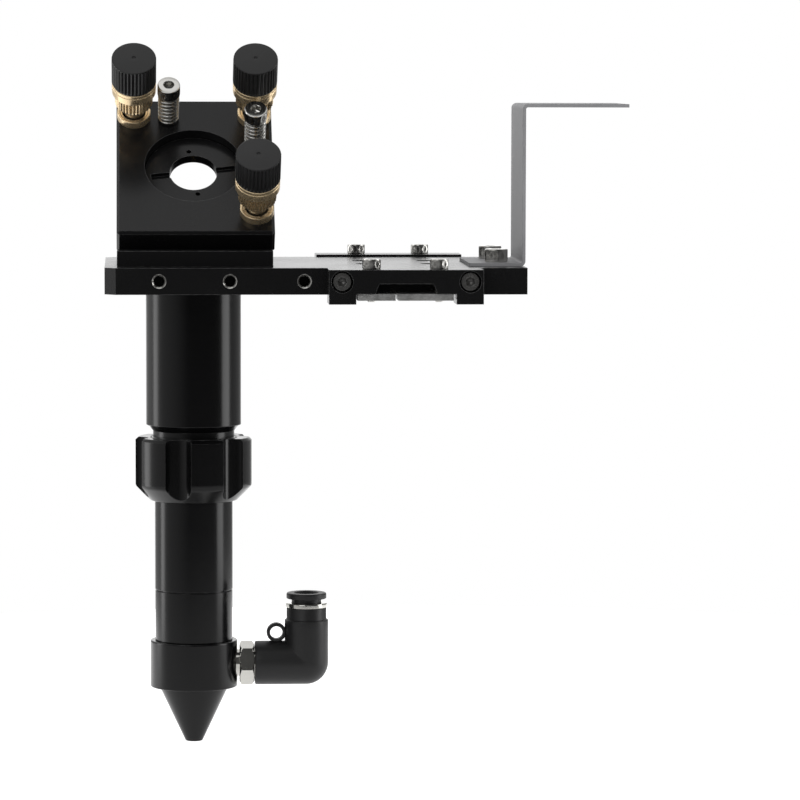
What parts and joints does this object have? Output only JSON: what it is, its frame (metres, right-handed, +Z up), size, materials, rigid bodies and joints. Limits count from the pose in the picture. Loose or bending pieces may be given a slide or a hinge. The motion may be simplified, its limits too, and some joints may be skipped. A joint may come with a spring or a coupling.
{
  "type": "laser cutting head",
  "caption": "Laser cutting head: 45 degree mirror mount with thumb adjusters on a base plate, focusing tube with lock ring, air elbow and cone nozzle.",
  "frame": {"origin": "centre of the carriage bolt pattern on the base plate's underside", "axes": "+Z up along the focusing tube, +X towards the cable chain bracket, -Y towards the knobs and the operator"},
  "size_m": [0.1583, 0.097, 0.2164],
  "materials": {
    "black_anodised": "black anodised, fine matt",
    "black_gloss_anodised": "black anodised over turned metal, satin gloss",
    "bright_screw_steel": "bright plated steel",
    "dark_screw_steel": "black oxide steel",
    "spring_steel": "bright drawn wire",
    "adjuster_steel": "turned steel",
    "clamp_steel": "raw cut steel",
    "bracket_paint": "fine grained grey paint",
    "brass": "turned and knurled brass",
    "knob_plastic": "moulded black plastic with ribs",
    "lens_optic": "coated infrared lens",
    "seal_rubber": "black rubber",
    "nickel_plate": "bright nickel plate",
    "elbow_plastic": "moulded black plastic"
  },
  "bodies": {
    "head": {"base_plate": "black_anodised", "front_belt_block": "black_anodised", "rear_belt_block": "black_anodised", "front_block_screws": "dark_screw_steel", "rear_block_screws": "dark_screw_steel", "front_clamp_narrow": "clamp_steel", "front_clamp_wide": "clamp_steel", "rear_clamp_narrow": "clamp_steel", "rear_clamp_wide": "clamp_steel", "front_clamp_screws": "bright_screw_steel", "rear_clamp_screws": "bright_screw_steel", "chain_bracket": "bracket_paint", "chain_bracket_screws": "bright_screw_steel", "mirror_housing": "black_anodised", "housing_screws": "dark_screw_steel", "seat_pads": "bright_screw_steel", "upper_tube": "black_gloss_anodised", "spring_screw_1": "bright_screw_steel", "spring_screw_2": "bright_screw_steel", "spring_1": "spring_steel", "spring_2": "spring_steel"},
    "pivot": {"pivot_ball": "bright_screw_steel"},
    "mirror_plate": {"mirror_plate": "black_anodised", "mirror_retaining_ring": "black_anodised", "adjuster_1_bush": "brass", "adjuster_2_bush": "brass", "adjuster_3_bush": "brass"},
    "lock_ring": {"lock_ring": "black_gloss_anodised"},
    "lens_tube": {"lens_tube": "black_gloss_anodised", "lens_holder": "black_gloss_anodised", "lens_seal": "seal_rubber", "focus_lens": "lens_optic", "lens_retaining_ring": "black_gloss_anodised"},
    "air_ring": {"air_ring": "black_gloss_anodised", "fitting_hex_body": "nickel_plate"},
    "nozzle": {"nozzle": "black_gloss_anodised"},
    "elbow": {"elbow_body": "elbow_plastic", "collet_ring": "nickel_plate"},
    "release_button": {"release_button": "elbow_plastic"},
    "adjuster_1": {"adjuster_1_screw": "adjuster_steel", "adjuster_1_collar": "brass", "adjuster_1_knob": "knob_plastic"},
    "lock_nut_1": {"adjuster_1_lock_nut": "brass"},
    "adjuster_2": {"adjuster_2_screw": "adjuster_steel", "adjuster_2_collar": "brass", "adjuster_2_knob": "knob_plastic"},
    "lock_nut_2": {"adjuster_2_lock_nut": "brass"},
    "adjuster_3": {"adjuster_3_screw": "adjuster_steel", "adjuster_3_collar": "brass", "adjuster_3_knob": "knob_plastic"},
    "lock_nut_3": {"adjuster_3_lock_nut": "brass"}
  },
  "joints": [
    {"name": "plate_tilt_up", "type": "hinge", "parent": "head", "child": "pivot", "pos_m": [-0.0434, 0.02333, 0.04469], "axis": [1, 0, 0], "range_deg": [-0.8, 0.8], "deforming": ["spring_2"]},
    {"name": "plate_tilt_side", "type": "hinge", "parent": "pivot", "child": "mirror_plate", "pos_m": [-0.0434, 0.02333, 0.04469], "axis": [0, 0.7071, 0.7071], "range_deg": [-0.8, 0.8], "deforming": ["spring_1"]},
    {"name": "adjuster_1_turn", "type": "hinge", "parent": "head", "child": "adjuster_1", "pos_m": [-0.0806, 0.00848, 0.05954], "axis": [0, -0.7071, 0.7071], "range_deg": [-360, 360]},
    {"name": "adjuster_2_turn", "type": "hinge", "parent": "head", "child": "adjuster_2", "pos_m": [-0.0434, 0.00848, 0.05954], "axis": [0, -0.7071, 0.7071], "range_deg": [-360, 360]},
    {"name": "adjuster_3_turn", "type": "hinge", "parent": "head", "child": "adjuster_3", "pos_m": [-0.0434, -0.02016, 0.0309], "axis": [0, -0.7071, 0.7071], "range_deg": [-360, 360]},
    {"name": "lock_nut_1_turn", "type": "hinge", "parent": "adjuster_1", "child": "lock_nut_1", "pos_m": [-0.0806, 0.00947, 0.05855], "axis": [0, -0.7071, 0.7071], "continuous": true},
    {"name": "lock_nut_2_turn", "type": "hinge", "parent": "adjuster_2", "child": "lock_nut_2", "pos_m": [-0.0434, 0.00947, 0.05855], "axis": [0, -0.7071, 0.7071], "continuous": true},
    {"name": "lock_nut_3_turn", "type": "hinge", "parent": "adjuster_3", "child": "lock_nut_3", "pos_m": [-0.0434, -0.01917, 0.02991], "axis": [0, -0.7071, 0.7071], "continuous": true},
    {"name": "lock_ring_turn", "type": "hinge", "parent": "head", "child": "lock_ring", "pos_m": [-0.0624, 0.0065, -0.0561], "axis": [0, 0, -1], "range_deg": [0, 180]},
    {"name": "focus_slide", "type": "slide", "parent": "head", "child": "lens_tube", "axis": [0, 0, 1], "range_m": [-0.015, 0.02]},
    {"name": "air_ring_turn", "type": "hinge", "parent": "lens_tube", "child": "air_ring", "pos_m": [-0.0624, 0.0065, -0.1168], "axis": [0, 0, 1], "range_deg": [-180, 180]},
    {"name": "nozzle_turn", "type": "hinge", "parent": "air_ring", "child": "nozzle", "pos_m": [-0.0624, 0.0065, -0.121], "axis": [0, 0, 1], "continuous": true},
    {"name": "elbow_swivel", "type": "hinge", "parent": "air_ring", "child": "elbow", "pos_m": [-0.0414, 0.0065, -0.1171], "axis": [1, 0, 0], "continuous": true},
    {"name": "button_press", "type": "slide", "parent": "elbow", "child": "release_button", "axis": [0, 0, -1], "range_m": [0, 0.0012], "stiffness_N_per_m": 600, "springref_m": -0.001}
  ],
  "couplings": [
    {"joint": "plate_tilt_up", "follows": "adjuster_3_turn", "ratio": 0.0019649},
    {"joint": "plate_tilt_side", "follows": "adjuster_1_turn", "ratio": -0.0021392}
  ]
}
